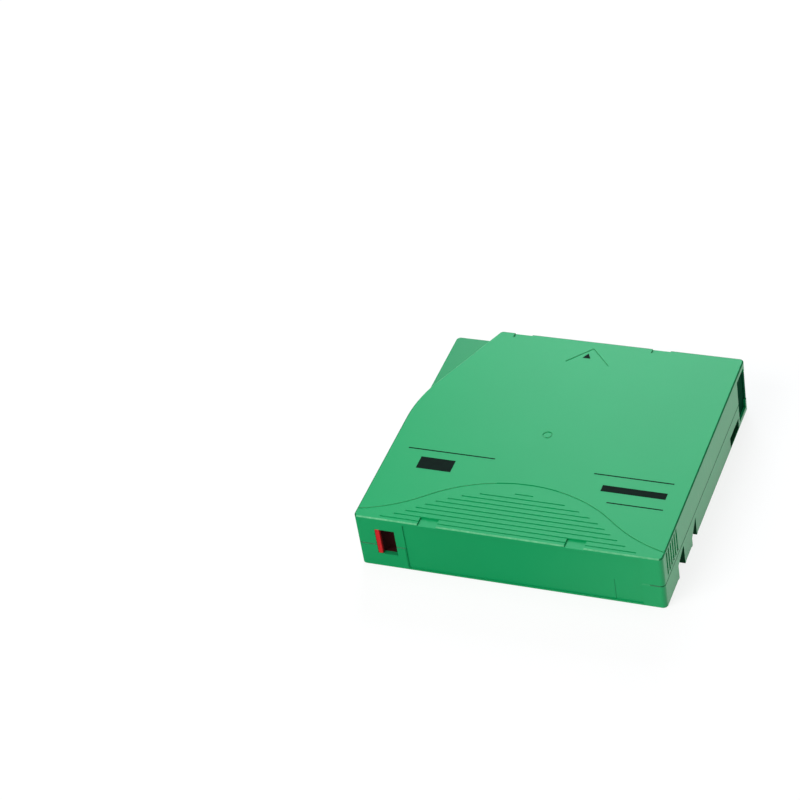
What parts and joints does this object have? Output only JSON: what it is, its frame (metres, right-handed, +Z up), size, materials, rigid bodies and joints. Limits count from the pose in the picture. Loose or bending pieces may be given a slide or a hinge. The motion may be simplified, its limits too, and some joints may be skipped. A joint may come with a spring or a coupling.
{
  "type": "data tape cartridge",
  "caption": "Flat square data tape cartridge: moulded case, sprung sliding door, toothed braked reel of tape, leader pin and write-protect tab.",
  "frame": {"origin": "middle of the case's flat underside", "axes": "+Z up through the case's thickness, +Y the leading edge that enters a drive, -Y the label end, +X the sliding door's side"},
  "size_m": [0.1054, 0.102, 0.0215],
  "materials": {
    "green_case": "fine matt moulded texture",
    "green_door": "fine matt moulded texture",
    "red_tab": "smooth moulded",
    "steel": "turned or stamped, bright",
    "spring_wire": "drawn, bright",
    "reel_plastic": "smooth moulded, slightly translucent",
    "acetal": "smooth moulded",
    "clip_plastic": "smooth moulded",
    "tape_film": "calendered film, edge-on",
    "circuit_board": "coated laminate",
    "copper": "etched, satin",
    "chip": "moulded"
  },
  "bodies": {
    "case": {"lower_shell": "green_case", "upper_shell": "green_case", "case_screws": "steel", "door_spring": "spring_wire", "memory_board": "circuit_board", "memory_antenna": "copper", "memory_chip": "chip", "tape_leader": "tape_film", "brake_spring": "spring_wire", "leader_pin": "steel", "leader_pin_clip": "clip_plastic", "leader_pin_spring": "spring_wire"},
    "door": {"sliding_door": "green_door"},
    "protect_tab": {"write_protect_tab": "red_tab"},
    "reel": {"reel_hub": "reel_plastic", "upper_flange": "reel_plastic", "clutch_plate": "steel", "tape_pack": "tape_film"},
    "brake": {"brake": "acetal"},
    "release_pad": {"release_pad": "acetal"}
  },
  "joints": [
    {"name": "door_slide", "type": "slide", "parent": "case", "child": "door", "axis": [0, -1, 0], "range_m": [0, 0.0089], "stiffness_N_per_m": 60, "springref_m": -0.008, "deforming": ["door_spring"]},
    {"name": "write_protect_slide", "type": "slide", "parent": "case", "child": "protect_tab", "axis": [1, 0, 0], "range_m": [0, 0.0045]},
    {"name": "reel_spin", "type": "hinge", "parent": "case", "child": "reel", "pos_m": [-0.0017, 0, 0.003], "axis": [0, 0, 1], "continuous": true},
    {"name": "brake_lift", "type": "slide", "parent": "case", "child": "brake", "axis": [0, 0, 1], "range_m": [0, 0.002], "stiffness_N_per_m": 300, "springref_m": -0.008, "deforming": ["brake_spring"]},
    {"name": "pad_lift", "type": "slide", "parent": "reel", "child": "release_pad", "axis": [0, 0, 1], "range_m": [0, 0.002]}
  ],
  "couplings": [
    {"joint": "pad_lift", "follows": "brake_lift", "ratio": 1}
  ]
}
